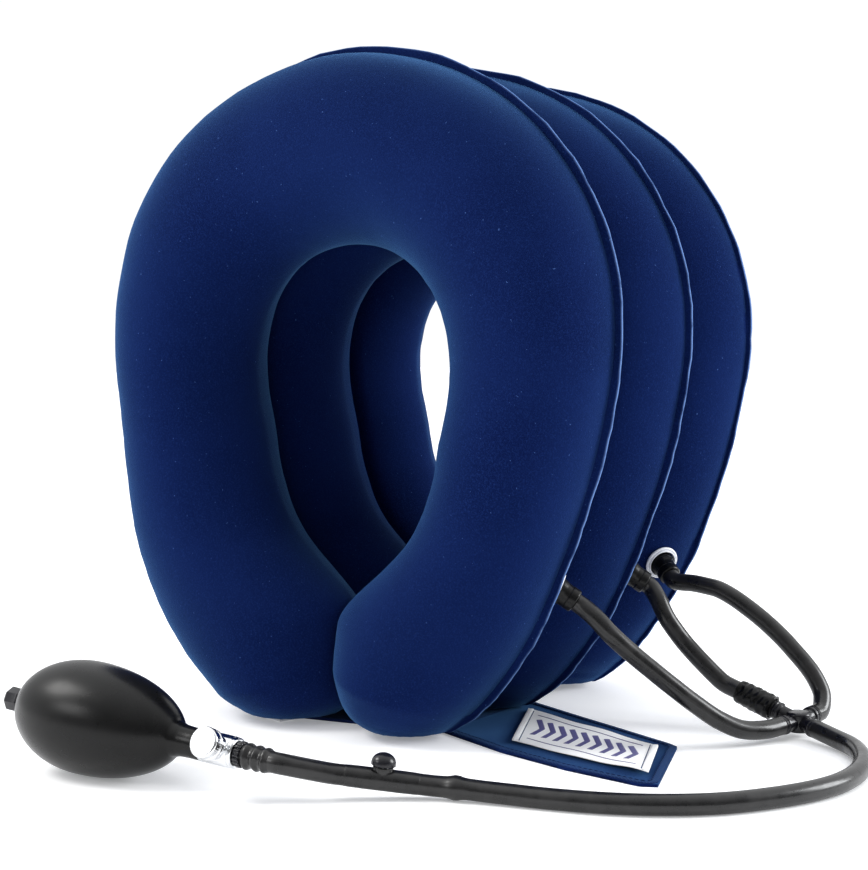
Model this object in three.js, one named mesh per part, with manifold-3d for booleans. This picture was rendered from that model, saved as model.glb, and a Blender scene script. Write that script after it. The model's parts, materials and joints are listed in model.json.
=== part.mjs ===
// Inflatable neck traction collar: three stacked horseshoe air cushions standing on their leg ends,
// three air ports on the right flank, branch tubes to a four-way joint, a supply hose, and a squeeze bulb
// with a chrome release valve. Millimetres, +Z up. The stack axis runs along Y, front tier towards -Y.
// The origin is on the floor under the middle of the stack, on the underside of the closure strap.
import * as THREE from 'three';
import { mergeVertices } from 'three/addons/utils/BufferGeometryUtils.js';
import Module from 'manifold-3d';

const wasm = await Module();
wasm.setup();

// ---------------------------------------------------------------- driving dimensions
const gap = 0.3;              // clearance between touching pieces
const tierPitch = 65.4;       // spacing of the tiers' weld seams when inflated
const halfDepth = 36;         // bulge of a panel from its seam, before the neighbour flattens it
const frontHalfDepth = 38;    // the same for the foremost panel, which has no neighbour
const backHalfDepth = 33;     // the same for the rearmost panel
const contactGap = 1.2;       // space between neighbouring panels, filled by the bond
const skin = 1.2;             // flocked sheet, with its foam backing
const lipWidth = 3.6;         // weld flange that stands proud of the outer seam
const lipThickness = 0.8;
const frontPinch = 1.75;      // shape of a front panel at its outer seam: 2 is round, 1 is a crisp lens
const foremostPinch = 2.3;    // the same for the foremost panel, the fullest one
const rearPinch = 1.25;       // the same for a rear panel
const holePinch = 1.7;        // the same for a front panel at its inner seam
const rearHolePinch = 1.25;   // the same for a rear panel at its inner seam
const legGap = 0.6;           // half the space between the two legs, where they press on each other
const fullChord = 72;         // chord at which a section reaches its full bulge
const stationCount = 28;      // stations along the horseshoe
const sectionCount = 8;       // steps across a section
const strapThickness = 1.6;

const tubeRadius = 4;
const tubeSides = 8;
const portRingRadius = 8.2;
const ringBore = 6.2;
const panelHoleRadius = 5.8;
const stubRadius = 5;
const stubBore = 2.4;
const stubReach = 10;

const bulbRadius = 22.3;
const bulbWall = 2.2;
const knobRadius = 6;

// Right half of the horseshoe seam, top to leg end, as (x, z). Outer and inner points face each other.
const outerSeam = [
  [0, 297], [46, 288.5], [85, 267], [113, 235.5], [127, 202], [130, 170], [125, 137],
  [116, 105], [105, 77], [92, 50], [77, 28], [61, 11], [45, 0.5], [25, -3.5],
];
const innerSeam = [
  [0, 214], [21, 210.5], [39, 200], [51.5, 184], [57, 165], [56.5, 147], [52, 128.5],
  [47, 108], [35, 84], [5, 56], [-4, 43], [-4, 28], [1.5, 10], [25, -3.5],
];
// How much further out the left limb's outer seam runs, at each of the points above.
const leftSpread = [0, 0.5, 1, 0, -1.5, -1.5, 0, 5.5, 12, 14.5, 13, 8, 5, 0];

// ---------------------------------------------------------------- finishes
function finish(color, roughness, metalness = 0) {
  return new THREE.MeshStandardMaterial({ color, roughness, metalness });
}
const navyFlock = () => finish(0x14225c, 0.9);
const blackRubber = () => finish(0x141416, 0.45);
const greyTube = () => finish(0x2c2c30, 0.35);
const blackPlastic = () => finish(0x101012, 0.3);
const whitePlastic = () => finish(0xe9eaee, 0.35);
const chrome = () => finish(0xd8dadd, 0.12, 1);
const navyWebbing = () => finish(0x101c4c, 0.85);
const whiteLabel = () => finish(0xf1f1ee, 0.7);

// ---------------------------------------------------------------- small helpers
const group = new THREE.Group();
const vec = (x, y, z) => new THREE.Vector3(x, y, z);
const lerp = THREE.MathUtils.lerp;

function place(name, geometry, material, parent = group) {
  const mesh = new THREE.Mesh(geometry, material);
  mesh.name = name;
  parent.add(mesh);
  return mesh;
}

// Collects points and triangles of one closed body. Triangles that use a point twice are skipped.
class Body {
  constructor() {
    this.points = [];
    this.faces = [];
  }

  point(v) {
    this.points.push(v);
    return this.points.length - 1;
  }

  triangle(a, b, c) {
    if (a !== b && b !== c && c !== a) this.faces.push([a, b, c]);
  }

  quad(a, b, c, d) {
    this.triangle(a, b, c);
    this.triangle(a, c, d);
  }

  // Joins two grids of point numbers, an outer and an inner skin, along all four borders.
  closeGrids(outer, inner) {
    const rows = outer.length - 1;
    const columns = outer[0].length - 1;
    for (let i = 0; i < rows; i++) {
      for (let j = 0; j < columns; j++) {
        this.quad(outer[i][j], outer[i + 1][j], outer[i + 1][j + 1], outer[i][j + 1]);
        this.quad(inner[i][j], inner[i][j + 1], inner[i + 1][j + 1], inner[i + 1][j]);
      }
      this.quad(outer[i][0], inner[i][0], inner[i + 1][0], outer[i + 1][0]);
      this.quad(outer[i][columns], outer[i + 1][columns], inner[i + 1][columns], inner[i][columns]);
    }
    if (outer[0][0] === outer[0][columns]) return;
    for (let j = 0; j < columns; j++) {
      this.quad(outer[0][j], outer[0][j + 1], inner[0][j + 1], inner[0][j]);
      this.quad(outer[rows][j], inner[rows][j], inner[rows][j + 1], outer[rows][j + 1]);
    }
  }

  geometry() {
    let volume = 0;
    for (const [a, b, c] of this.faces) {
      const cross = new THREE.Vector3().crossVectors(this.points[b], this.points[c]);
      volume += this.points[a].dot(cross);
    }
    const geometry = new THREE.BufferGeometry();
    geometry.setFromPoints(this.points);
    geometry.setIndex(this.faces.flatMap(([a, b, c]) => (volume > 0 ? [a, b, c] : [a, c, b])));
    geometry.computeVertexNormals();
    return geometry;
  }
}

function toSolid(geometry) {
  const bare = geometry.clone();
  bare.deleteAttribute('normal');
  bare.deleteAttribute('uv');
  const merged = mergeVertices(bare, 1e-4);
  return new wasm.Manifold(new wasm.Mesh({
    numProp: 3,
    vertProperties: new Float32Array(merged.attributes.position.array),
    triVerts: new Uint32Array(merged.index.array),
  }));
}

function fromSolid(solid) {
  const mesh = solid.getMesh();
  const geometry = new THREE.BufferGeometry();
  geometry.setAttribute('position', new THREE.BufferAttribute(new Float32Array(mesh.vertProperties), 3));
  geometry.setIndex(new THREE.BufferAttribute(new Uint32Array(mesh.triVerts), 1));
  return geometry;
}

// A turned shape about +X from a list of (x, radius), taken in whichever order faces outwards.
function turned(profile, segments = 16) {
  const area = profile.reduce((sum, [x, r], i) => {
    const [nextX, nextR] = profile[(i + 1) % profile.length];
    return sum + x * nextR - nextX * r;
  }, 0);
  const ordered = area > 0 ? [...profile].reverse() : profile;
  const points = ordered.map(([x, r]) => new THREE.Vector2(r, x));
  return new THREE.LatheGeometry(points, segments).rotateZ(-Math.PI / 2);
}

// A plain rod about +X between two stations.
function rod(x0, x1, radius, segments = 16) {
  return turned([[x0, 0], [x0, radius], [x1, radius], [x1, 0]], segments);
}

// Turns geometry made about +X so that it points along a direction from a place.
function aim(geometry, from, direction) {
  const turn = new THREE.Quaternion().setFromUnitVectors(vec(1, 0, 0), direction.clone().normalize());
  return geometry.applyQuaternion(turn).translate(from.x, from.y, from.z);
}

// A round tube along a smooth route.
function tube(route, radius, steps, sides = tubeSides) {
  const shape = new THREE.Shape();
  for (let i = 0; i < sides; i++) {
    const angle = ((i + 0.5) * 2 * Math.PI) / sides;
    const x = radius * Math.cos(angle);
    const y = radius * Math.sin(angle);
    if (i === 0) shape.moveTo(x, y);
    else shape.lineTo(x, y);
  }
  const path = new THREE.CatmullRomCurve3(route.map((p) => vec(...p)), false, 'centripetal');
  return new THREE.ExtrudeGeometry(shape, { steps, bevelEnabled: false, extrudePath: path });
}

// ---------------------------------------------------------------- the horseshoe surface
function seamCurve(rightHalf, spread) {
  const left = rightHalf.map(([x, z], i) => new THREE.Vector2(-x - spread[i], z)).slice(1).reverse();
  return new THREE.SplineCurve([...left, ...rightHalf.map(([x, z]) => new THREE.Vector2(x, z))]);
}
const outerCurve = seamCurve(outerSeam, leftSpread);
const innerCurve = seamCurve(innerSeam, leftSpread.map(() => 0));

// u runs from -1 at the left leg end over the top to 1 at the right leg end.
function chordAt(u) {
  const t = (u + 1) / 2;
  const outer = outerCurve.getPoint(t);
  const inner = innerCurve.getPoint(t);
  const across = inner.clone().sub(outer);
  const chord = across.length();
  if (chord > 1e-6) across.divideScalar(chord);
  return { outer, inner, across, chord };
}

// Legs press flat on what they stand on: heights below the floor level are squeezed up to it.
function pressed(z, floor) {
  const squeeze = 0.04;
  const level = floor + 0.4;
  return z > level ? z : level + (z - level) * squeeze;
}

// The two legs press flat on each other in the middle.
function parted(x, u, inset) {
  const side = Math.sign(u);
  const level = legGap + inset;
  const out = x * side;
  if (Math.abs(u) < 0.6 || out > level) return x;
  return side * (level + (out - level) * 0.04);
}

// One point of a panel's surface. share runs from 0 at the outer seam to 1 at the inner one, inset is
// the depth under the outside, limit is how far the neighbour lets the panel bulge.
function panelPoint(u, share, panel, inset) {
  const { outer, inner, across, chord } = chordAt(u);
  const spread = (1 - Math.cos(Math.PI * share)) / 2;
  const pinch = spread < 0.5 ? panel.pinch : panel.innerPinch;
  const rise = (1 - (2 * spread - 1) ** 2) ** (1 / pinch);
  const side = Math.min(inset, 0.4 * chord);
  const start = outer.clone().addScaledVector(across, side);
  const end = inner.clone().addScaledVector(across, -side);
  const at = start.lerp(end, spread);
  const root = inset > 0 ? gap / 2 : gap / 2 + lipThickness;
  const depth = Math.max(panel.depth * Math.min(1, chord / fullChord) - inset, 0);
  const bulge = Math.min(root + depth * rise, panel.limit - inset);
  const y = panel.seamY + panel.facing * bulge;
  return vec(parted(at.x, u, inset), y, pressed(at.y, panel.floor + inset));
}

function lipPoint(u, panel, inset) {
  const { outer, across } = chordAt(u);
  const width = lipWidth * (1 - THREE.MathUtils.smoothstep(Math.abs(u), 0.78, 1));
  const at = outer.clone().addScaledVector(across, -Math.max(width, 0.05));
  const y = panel.seamY + panel.facing * (inset > 0 ? gap / 2 : gap / 2 + lipThickness);
  return vec(at.x, y, pressed(at.y, panel.floor + (inset > 0 ? lipThickness : 0)));
}

// Stations crowd a little towards the rounded leg ends.
function stationAt(i) {
  const s = (2 * i) / stationCount - 1;
  return 0.5 * s + 0.5 * Math.sin((s * Math.PI) / 2);
}

// The point where a skin closes over a leg end.
function legEnd(u, panel, inset) {
  const tip = chordAt(u).outer;
  const inward = chordAt(u * 0.93);
  const middle = inward.outer.clone().lerp(inward.inner, 0.5).sub(tip).normalize();
  const at = tip.clone().addScaledVector(middle, inset);
  const y = panel.seamY + panel.facing * (inset > 0 ? gap / 2 : gap / 2 + lipThickness);
  return vec(at.x, y, pressed(at.y, panel.floor + inset));
}

function panelGeometry(panel) {
  const body = new Body();
  const grids = [0, skin].map((inset) => {
    const grid = [];
    for (let i = 0; i <= stationCount; i++) {
      const u = stationAt(i);
      if (i === 0 || i === stationCount) {
        grid.push(Array(sectionCount + 2).fill(body.point(legEnd(u, panel, inset))));
        continue;
      }
      const row = [body.point(lipPoint(u, panel, inset))];
      for (let j = 0; j <= sectionCount; j++) {
        row.push(body.point(panelPoint(u, j / sectionCount, panel, inset)));
      }
      grid.push(row);
    }
    return grid;
  });
  body.closeGrids(grids[0], grids[1]);
  return body.geometry();
}

// Place and outward direction on a panel's outside.
function onPanel(u, share, panel) {
  const step = 0.01;
  const here = panelPoint(u, share, panel, 0);
  const along = panelPoint(u + step, share, panel, 0).sub(panelPoint(u - step, share, panel, 0));
  const across = panelPoint(u, share + step, panel, 0).sub(panelPoint(u, share - step, panel, 0));
  const normal = along.cross(across).normalize();
  if (normal.x < 0) normal.negate();
  return { here, normal };
}

// ---------------------------------------------------------------- tiers, ports and bonds
const touching = (tierPitch - contactGap) / 2;
const noLimit = 1000;
const portStation = 0.643;

const tiers = [-1, 0, 1].map((step, index) => {
  const seamY = step * tierPitch;
  const floor = index < 2 ? strapThickness + gap : 0;
  const isFirst = index === 0;
  const isLast = index === 2;
  const front = {
    seamY, floor, facing: -1, pinch: isFirst ? foremostPinch : frontPinch, innerPinch: holePinch,
    depth: isFirst ? frontHalfDepth : halfDepth,
    limit: isFirst ? noLimit : touching,
  };
  const rear = {
    seamY, floor, facing: 1, pinch: rearPinch, innerPinch: rearHolePinch,
    depth: isLast ? backHalfDepth : halfDepth,
    limit: isLast ? noLimit : touching,
  };
  return { number: index + 1, front, rear };
});

const portShares = [0.15, 0.15, 0.17];
const droop = 0.22;           // how far the soft stubs hang away from the panel's normal
const ports = [];

tiers.forEach((tier, index) => {
  const onRear = index < 2;
  const panel = onRear ? tier.rear : tier.front;
  const { here, normal } = onPanel(portStation, portShares[index], panel);
  const lead = normal.clone().add(vec(0, 0, -droop)).normalize();
  ports.push({ here, lead });
  for (const side of ['front', 'rear']) {
    let geometry = panelGeometry(tier[side]);
    if ((side === 'rear') === onRear) {
      const drill = aim(rod(-9, 6, panelHoleRadius, 12), here, lead);
      geometry = fromSolid(toSolid(geometry).subtract(toSolid(drill)));
    }
    place(`tier_${tier.number}_${side}_panel`, geometry, navyFlock());
  }
  const ring = turned([
    [gap, ringBore], [gap, portRingRadius], [1.1, portRingRadius], [1.9, 7], [1.9, ringBore], [gap, ringBore],
  ], 20);
  place(`port_ring_${tier.number}`, aim(ring, here, normal), whitePlastic());
  const stub = turned([
    [-6.2, stubBore], [-6.2, 7.2], [-5, 7.2], [-5, stubRadius], [stubReach - 0.4, stubRadius],
    [stubReach, stubRadius - 0.4], [stubReach, stubBore], [-6.2, stubBore],
  ], 16);
  place(`port_stub_${tier.number}`, aim(stub, here, lead), blackRubber());
});

// A bond is a thin strip between two neighbouring tiers, along the middle of the horseshoe.
function bondGeometry(y) {
  const body = new Body();
  const half = contactGap / 2 - gap;
  const grids = [-half, half].map((offset) => {
    const grid = [];
    const steps = 20;
    for (let i = 0; i <= steps; i++) {
      const { outer, inner } = chordAt(lerp(-0.86, 0.86, i / steps));
      grid.push([0.36, 0.5, 0.64].map((share) => {
        const at = outer.clone().lerp(inner, share);
        return body.point(vec(at.x, y + offset, at.y));
      }));
    }
    return grid;
  });
  body.closeGrids(grids[0], grids[1]);
  return body.geometry();
}
place('tier_bond_1_2', bondGeometry(-tierPitch / 2), navyWebbing());
place('tier_bond_2_3', bondGeometry(tierPitch / 2), navyWebbing());

// ---------------------------------------------------------------- closure strap
function flatPiece(outline, z0, thickness) {
  const shape = new THREE.Shape(outline.map(([x, y]) => new THREE.Vector2(x, y)));
  return new THREE.ExtrudeGeometry(shape, { depth: thickness, bevelEnabled: false }).translate(0, 0, z0);
}
const strapRoot = [[-42, -74], [44, -60], [44, 14], [-42, 26]];
const strapTab = [[44 + gap, -60], [84, -77], [120, -87.5], [156, -93.5], [162.5, -90.5], [141.5, -30],
  [135, -26.5], [92, -7.5], [44 + gap, 14]];
const strapLabel = [[80.5, -63], [154.5, -82.5], [137, -38.5], [54, -4.5]];
const labelThickness = 0.5;
place('strap_root', flatPiece(strapRoot, 0, strapThickness), navyWebbing());
place('strap_tab', flatPiece(strapTab, 0, strapThickness), navyWebbing());
place('strap_label', flatPiece(strapLabel, strapThickness + gap, labelThickness), whiteLabel());
const hookPad = [[-40, -80], [-29, -83], [-27, -76], [-38, -74.6]];
place('strap_hook_pad', flatPiece(hookPad, 0.1, 1), whiteLabel());

// ---------------------------------------------------------------- four-way joint and branch tubes
const joint = vec(175, 21, 6.4);
const armReach = 12;
const armDirections = [
  vec(-0.3, -0.95, -0.02), vec(-0.93, 0.03, 0.33), vec(0.16, 0.98, 0.1), vec(0.86, -0.5, -0.09),
].map((d) => d.normalize());
let manifold = toSolid(aim(rod(-4.2, 4.4, 5.4, 14), joint, vec(0, 0, 1)));
for (const direction of armDirections) {
  const arm = turned([[0, 0], [0, 3.3], [9, 3.3], [9, 4.1], [armReach, 4.1], [armReach, 0]], 12);
  manifold = manifold.add(toSolid(aim(arm, joint, direction)));
}
place('manifold', fromSolid(manifold), blackPlastic());

function armPoint(index, distance) {
  return joint.clone().addScaledVector(armDirections[index], distance).toArray();
}
function portPoint(index, distance) {
  const { here, lead } = ports[index];
  return here.clone().addScaledVector(lead, distance).toArray();
}

const branchRoutes = [
  [portPoint(0, stubReach + gap), portPoint(0, 13.5), [112.1, -48.1, 55.4], [118, -46.6, 49.3],
    [121.9, -44.3, 45], [125.6, -41.7, 41], [129.4, -39.2, 37.2], [133.3, -36.6, 33.4], [137.2, -33.9, 29.5],
    [141, -31, 25.7], [144.8, -28.1, 21.9], [148.5, -25, 18.3], [152, -21.9, 14.9], [155.5, -18.5, 11.8],
    [162, -11, 7.4], armPoint(0, 22), armPoint(0, armReach + gap)],
  [portPoint(1, stubReach + gap), portPoint(1, 12.5), [110, 15.4, 54.9], [112.3, 14.9, 51],
    [114.6, 14.8, 47.1], [118.2, 15.9, 41.7], [121.9, 17.3, 36.6], [126.3, 18.3, 31.8], [130.8, 19.4, 27.2],
    [135, 20.9, 22.8], armPoint(1, 38), armPoint(1, 30), armPoint(1, 25), armPoint(1, 20),
    armPoint(1, armReach + gap)],
  [portPoint(2, stubReach + gap), portPoint(2, 13.5), [114.8, 42.9, 59.4], [120.5, 43.6, 58.6],
    [126.1, 44.3, 57.5], [133.3, 45, 54.2], [139.8, 45.6, 50.2], [146.1, 46.1, 45.9], [152.1, 46.6, 41.2],
    [157.6, 47, 36.4], [162.7, 47.2, 31.4], [167.1, 47.4, 26.9], [171, 47.2, 22.4], [174, 46.5, 18.1],
    [176.3, 45, 14], armPoint(2, 18), armPoint(2, armReach + gap)],
];
branchRoutes.forEach((route, index) => {
  place(`branch_tube_${index + 1}`, tube(route, tubeRadius, 22), greyTube());
});
const sleeve = turned([[13, 4.6], [13, 5.9], [29, 5.6], [30, 5.1], [30, 4.6], [13, 4.6]], 14);
place('manifold_sleeve', aim(sleeve, joint, armDirections[1]), blackRubber());

// ---------------------------------------------------------------- squeeze bulb, its valves and the hose
const bulbRest = 22.1;        // height of the bulb's centre when it lies on its side, neck a little down
const pump = new THREE.Group();
pump.position.set(-29, -196, bulbRest);
pump.rotation.set(0, 0.085, 0.085, 'ZYX');
group.add(pump);
pump.updateMatrixWorld(true);
const pumpPoint = (x, y, z) => pump.localToWorld(vec(x, y, z)).toArray();

const bulbWidest = -5;
function eggProfile(radius, leftReach, rightReach, leftRadius, rightAngle, steps) {
  const profile = [];
  const first = Math.asin(leftRadius / radius);
  for (let i = 0; i <= steps; i++) {
    const angle = lerp(first, Math.PI / 2, i / steps);
    profile.push([bulbWidest - leftReach * Math.cos(angle), radius * Math.sin(angle)]);
  }
  for (let i = 1; i <= steps; i++) {
    const angle = lerp(Math.PI / 2, rightAngle, i / steps);
    profile.push([bulbWidest + rightReach * Math.cos(angle), radius * Math.sin(angle)]);
  }
  return profile;
}
const neckRadius = 5.8;
const neckBore = 3.9;
const neckEnd = 51;
const bulbOutside = eggProfile(bulbRadius, 33.5, 45, 5, 0.46, 6);
const bulbInside = eggProfile(bulbRadius - bulbWall, 31.3, 42, 3.6, 0.4, 5).reverse();
place('squeeze_bulb', turned([
  [-39.5, 3.6], [-39.5, 5], ...bulbOutside, [38, 7.2], [42, 6], [neckEnd, neckRadius], [neckEnd, neckBore],
  [39, neckBore], ...bulbInside, [-39.5, 3.6],
], 24), blackRubber(), pump);

place('inlet_cap', turned([
  [-36.2, 1.2], [-36.2, 3.3], [-39.8, 3.3], [-39.8, 4.9], [-45.2, 5.1], [-46.4, 4.4], [-46.4, 1],
  [-44, 1], [-44, 2.2], [-37.4, 2.2], [-37.4, 1.2], [-36.2, 1.2],
], 8), blackPlastic(), pump);
const ball = new THREE.SphereGeometry(1.6, 10, 6).translate(-42, 0, 0);
place('inlet_ball', ball, chrome(), pump);

const knobX = 60.5;
const knobTilt = 0.42;
const knobAxis = vec(0, -Math.cos(knobTilt), Math.sin(knobTilt));
const valveStart = neckEnd + gap;
const valveEnd = 67;
let valve = toSolid(turned([
  [45, 0], [45, 3.6], [valveStart, 3.6], [valveStart, 6.1], [valveEnd - 2, 6.1], [valveEnd, 5.4],
  [valveEnd, 3.3], [78, 3.3], [79.5, 2.6], [79.5, 0],
], 20));
const bossTop = 8;
valve = valve.add(toSolid(aim(rod(0, bossTop, 4.4, 16), vec(knobX, 0, 0), knobAxis)));
valve = valve.subtract(toSolid(rod(40, 90, 1.5, 12)));
valve = valve.subtract(toSolid(aim(rod(0, 12, 2.2, 12), vec(knobX, 0, 0), knobAxis)));
place('release_valve_body', fromSolid(valve), chrome(), pump);

function onKnobAxis(profile, segments) {
  return aim(turned(profile, segments), vec(knobX, 0, 0), knobAxis);
}
place('release_needle', onKnobAxis([
  [1.9, 0], [3.2, 1.3], [3.2, 1.8], [12.2, 1.8], [12.2, 0],
], 12), chrome(), pump);
place('needle_seal', onKnobAxis([
  [8.3, 2.15], [8.3, 3.4], [9.1, 3.4], [9.1, 2.15], [8.3, 2.15],
], 14), blackRubber(), pump);
const knob = onKnobAxis([
  [9.4, 2.1], [9.4, 4.6], [10, knobRadius], [11.2, knobRadius], [11.5, 5.6], [11.9, 5.6], [12.2, knobRadius],
  [14.8, knobRadius], [15.6, 5.2], [15.6, 0], [12.5, 0], [12.5, 2.1], [9.4, 2.1],
], 20);
place('release_knob', knob, chrome(), pump);
place('outlet_disc', turned([[42.3, 0], [42.3, 2.9], [43.3, 2.9], [43.3, 0]], 12), blackRubber(), pump);
place('outlet_seat', turned([
  [39.6, 1.4], [39.6, 3.6], [42, 3.6], [42, 1.4], [39.6, 1.4],
], 14), whitePlastic(), pump);

place('hose_collar', turned([
  [valveEnd + gap, 3.6], [valveEnd + gap, 5], [70, 5], [70, 3.6], [valveEnd + gap, 3.6],
], 16), blackPlastic(), pump);
place('hose_cuff', turned([
  [70.3, 3.6], [70.3, 5.1], [76, 5.3], [80, 4.9], [81.5, 4.3], [81.5, 3.6], [70.3, 3.6],
], 14), greyTube(), pump);

// ---------------------------------------------------------------- quick coupling in the hose
const coupling = new THREE.Group();
coupling.position.set(84.2, -163.2, 7.5);
coupling.rotation.set(0, 0.13, 0.62, 'ZYX');
group.add(coupling);
coupling.updateMatrixWorld(true);
const couplingReach = 13;
const couplingPoint = (x) => coupling.localToWorld(vec(x, 0, 0)).toArray();
let shell = toSolid(turned([
  [-couplingReach, 0], [-couplingReach, 4.3], [-10, 4.8], [10, 4.8], [couplingReach, 4.3], [couplingReach, 0],
], 16));
const upward = vec(0, 0, 1);
shell = shell.add(toSolid(aim(rod(0, 4.9, 4.3, 16), vec(0, 0, 0), upward)));
shell = shell.subtract(toSolid(rod(-20, 20, 1.6, 12)));
shell = shell.subtract(toSolid(aim(rod(0, 9, 2.9, 14), vec(0, 0, 0), upward)));
place('coupling_body', fromSolid(shell), blackPlastic(), coupling);
function onButtonAxis(profile, segments) {
  return aim(turned(profile, segments), vec(0, 0, 0), upward);
}
const buttonLift = 6;          // height of the button's skirt over the hose's centre line
const dome = [[buttonLift, 4.4]];
for (let i = 1; i <= 5; i++) {
  const angle = (i * Math.PI) / 10;
  dome.push([buttonLift + 0.4 + 3.9 * Math.sin(angle), i === 5 ? 0 : 4.4 * Math.cos(angle)]);
}
place('coupling_button', onButtonAxis([
  [2, 0], [2, 1.3], [buttonLift, 1.3], ...dome,
], 18), blackPlastic(), coupling);
place('coupling_seal', onButtonAxis([
  [1.9, 1.6], [1.9, 2.6], [2.7, 2.6], [2.7, 1.6], [1.9, 1.6],
], 14), blackRubber(), coupling);
const springTurns = 3;
const springPoints = [];
for (let i = 0; i <= springTurns * 8; i++) {
  const angle = (i * Math.PI) / 4;
  springPoints.push([2.15 * Math.cos(angle), 2.15 * Math.sin(angle), lerp(3.2, 5.4, i / (springTurns * 8))]);
}
place('coupling_spring', tube(springPoints, 0.3, springTurns * 8, 5), chrome(), coupling);

const pumpHoseRoute = [pumpPoint(81.8, 0, 0), pumpPoint(86, 0.3, 0),
  couplingPoint(-couplingReach - 6), couplingPoint(-couplingReach - gap)];
place('pump_hose', tube(pumpHoseRoute, tubeRadius, 8), greyTube());
const mainHoseRoute = [couplingPoint(couplingReach + gap), couplingPoint(couplingReach + 6),
  [109, -149.3, 4.9], [118.5, -146.4, 4.4], [129, -143.8, 4.2], [140, -141.2, 4], [161, -135, 4],
  [180, -125.5, 4], [197.5, -111.5, 4], [211.5, -92, 4], [220.5, -72.5, 4], [224, -55, 4],
  [222.5, -34, 4], [216, -15.5, 4], [207, -1, 4], [196.5, 7.6, 4.4], armPoint(3, armReach + gap)];
place('main_hose', tube(mainHoseRoute, tubeRadius, 38), greyTube());

export default group;
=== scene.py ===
"""Looks of an inflatable neck traction collar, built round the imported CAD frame.

Sizes below are millimetres, turned into metres where a mesh is made. The outer seam, the way a panel
rises from its seams and the hose routes repeat the CAD source. The opening's lower end, the flanges and
the small gathers are finer here than there.
"""

import json
import math

import bmesh
import bpy
import numpy as np
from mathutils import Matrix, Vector, noise


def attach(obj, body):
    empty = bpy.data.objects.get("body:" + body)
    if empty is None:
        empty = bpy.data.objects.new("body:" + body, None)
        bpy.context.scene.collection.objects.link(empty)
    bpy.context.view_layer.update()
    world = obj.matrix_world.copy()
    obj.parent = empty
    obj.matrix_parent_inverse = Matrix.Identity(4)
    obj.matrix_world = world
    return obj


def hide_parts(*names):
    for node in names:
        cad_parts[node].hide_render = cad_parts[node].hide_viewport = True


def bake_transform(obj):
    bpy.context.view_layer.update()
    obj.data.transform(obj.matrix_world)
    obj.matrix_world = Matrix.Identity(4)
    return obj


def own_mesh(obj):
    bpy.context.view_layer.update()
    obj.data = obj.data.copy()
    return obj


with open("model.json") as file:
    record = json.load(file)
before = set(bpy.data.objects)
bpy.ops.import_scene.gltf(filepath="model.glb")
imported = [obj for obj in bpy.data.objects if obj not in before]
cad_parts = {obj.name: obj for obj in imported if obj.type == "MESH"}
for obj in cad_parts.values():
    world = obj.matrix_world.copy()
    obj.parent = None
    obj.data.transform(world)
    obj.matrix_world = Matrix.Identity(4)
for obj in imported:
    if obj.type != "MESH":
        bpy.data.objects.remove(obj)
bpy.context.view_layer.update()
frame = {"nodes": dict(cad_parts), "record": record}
nodes = frame["nodes"]
MM = 0.001


def placed(name, data):
    """A new object in the scene."""
    made = bpy.data.objects.new(name, data)
    bpy.context.scene.collection.objects.link(made)
    return made


def aim(made, direction):
    """Turns a camera or a light to look along a direction."""
    made.rotation_mode = "QUATERNION"
    made.rotation_quaternion = direction.to_track_quat("-Z", "Y")


# ------------ camera
CAMERA_AT = (448.2, -671.7, 169.7)
CAMERA_AZIMUTH = math.radians(33.80)
CAMERA_TILT = math.radians(3.05)
CAMERA_LENS = 70.1

camera_data = bpy.data.cameras.new("camera")
camera_data.lens = CAMERA_LENS
camera_data.sensor_width = 36
camera_data.clip_start = 0.01
camera = placed("camera", camera_data)
camera.location = Vector(CAMERA_AT) * MM
looking = Vector((
    -math.sin(CAMERA_AZIMUTH) * math.cos(CAMERA_TILT),
    math.cos(CAMERA_AZIMUTH) * math.cos(CAMERA_TILT),
    -math.sin(CAMERA_TILT),
))
aim(camera, looking)
bpy.context.scene.camera = camera


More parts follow.
